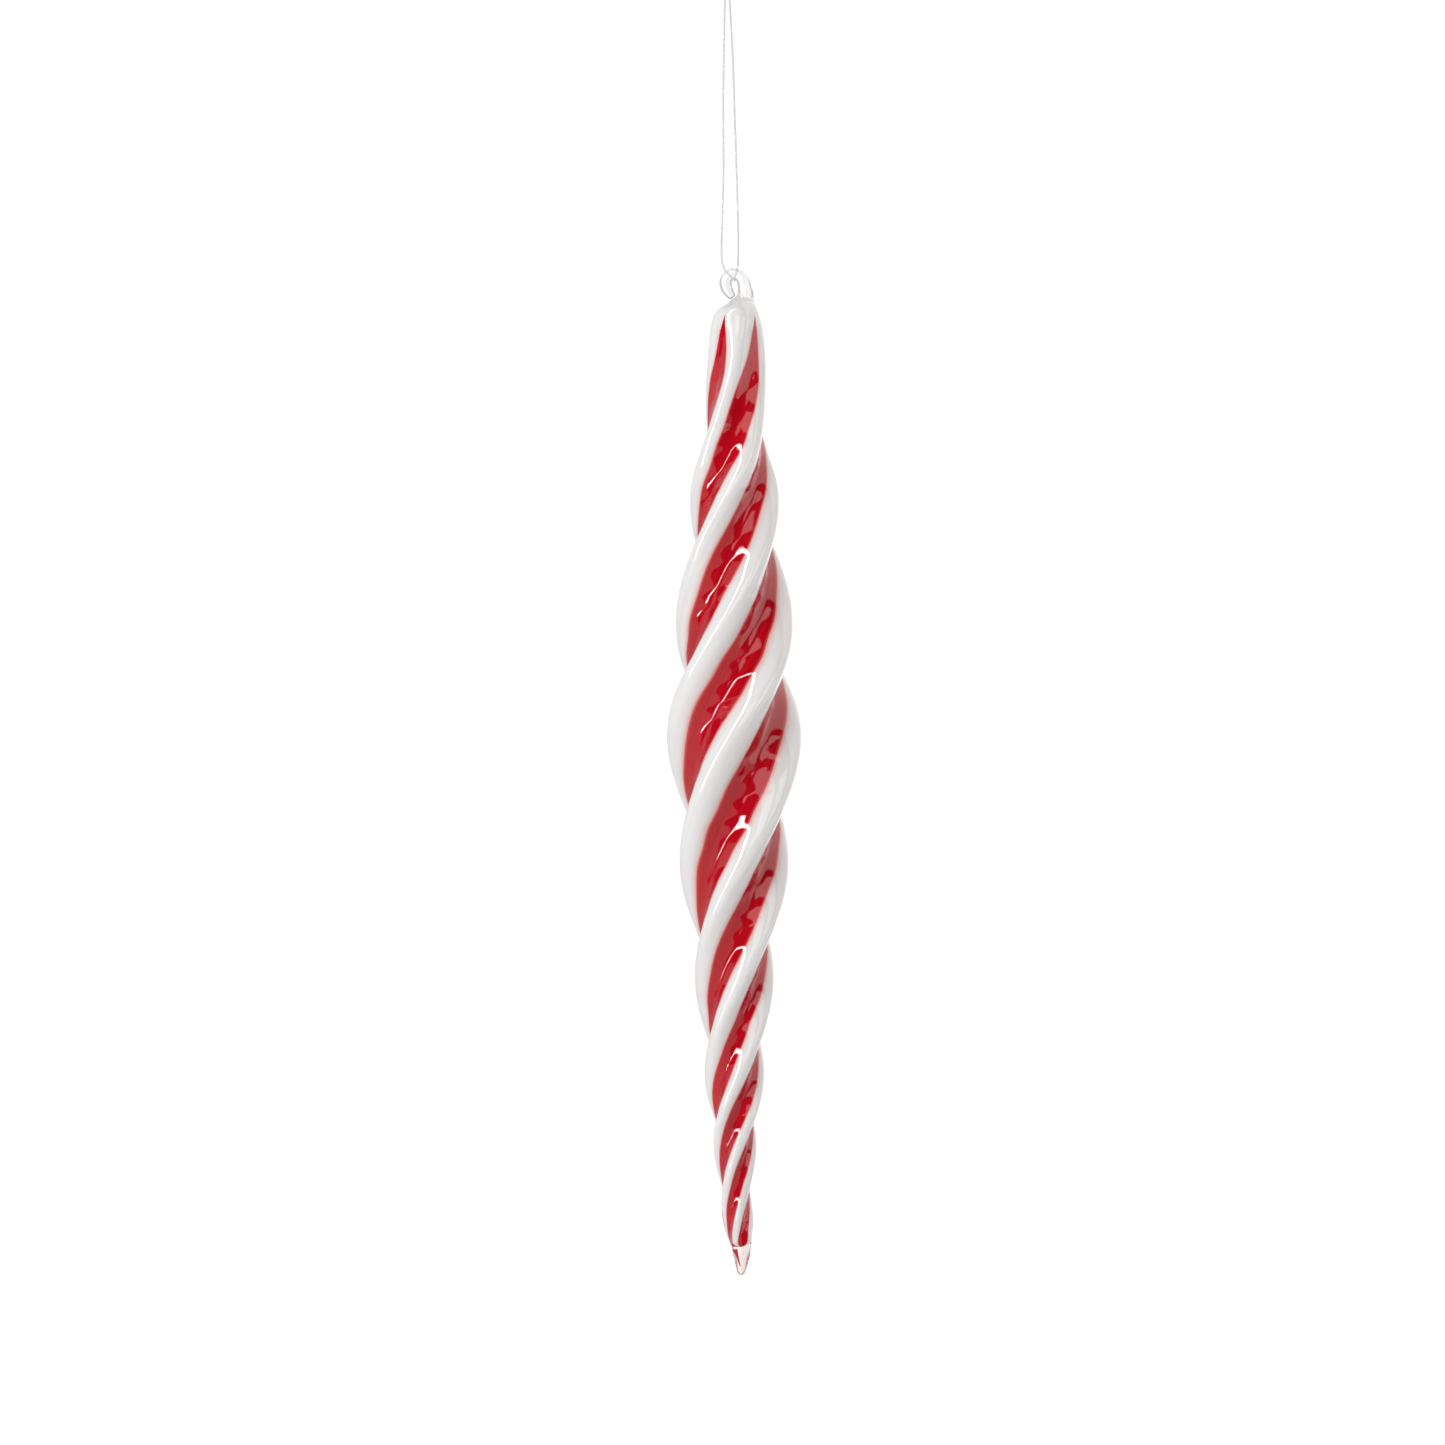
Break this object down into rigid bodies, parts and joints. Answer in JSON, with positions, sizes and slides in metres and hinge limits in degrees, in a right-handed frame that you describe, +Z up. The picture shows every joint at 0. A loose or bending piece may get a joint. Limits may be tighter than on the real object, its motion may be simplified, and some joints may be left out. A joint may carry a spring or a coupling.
{
  "type": "icicle hanging ornament",
  "caption": "Twisted glass icicle ornament with white ribs and red stripes under clear glass, a drawn glass hook and a nylon thread loop.",
  "frame": {"origin": "top of the thread loop, just under its knot, where a branch or hook carries the ornament", "axes": "+Z up along the hanging direction, +X to the viewer's right, +Y away from the viewer and along the hook's eye"},
  "size_m": [0.0405, 0.0406, 0.4077],
  "materials": {
    "clear_glass": "clear, glossy",
    "white_glass": "opal white, glossy",
    "red_glass": "deep red, glossy",
    "nylon": "translucent monofilament"
  },
  "bodies": {
    "thread": {"thread_loop": "nylon", "thread_knot": "nylon"},
    "bight": {"thread_bight": "nylon"},
    "icicle": {"glass_hook": "clear_glass", "clear_casing": "clear_glass", "clear_tip": "clear_glass", "tip_streak": "red_glass", "white_rib_1": "white_glass", "white_rib_2": "white_glass", "white_rib_3": "white_glass", "white_rib_4": "white_glass", "red_stripe_1": "red_glass", "red_stripe_2": "red_glass", "red_stripe_3": "red_glass", "red_stripe_4": "red_glass"}
  },
  "joints": [
    {"name": "loop_twist", "type": "hinge", "parent": "thread", "child": "bight", "pos_m": [0.0025, 0, -0.1022], "axis": [0, 0, 1], "range_deg": [-180, 180]},
    {"name": "eye_rock", "type": "hinge", "parent": "bight", "child": "icicle", "pos_m": [0.0025, 0, -0.1022], "axis": [0, 1, 0], "range_deg": [-35, 35]}
  ]
}
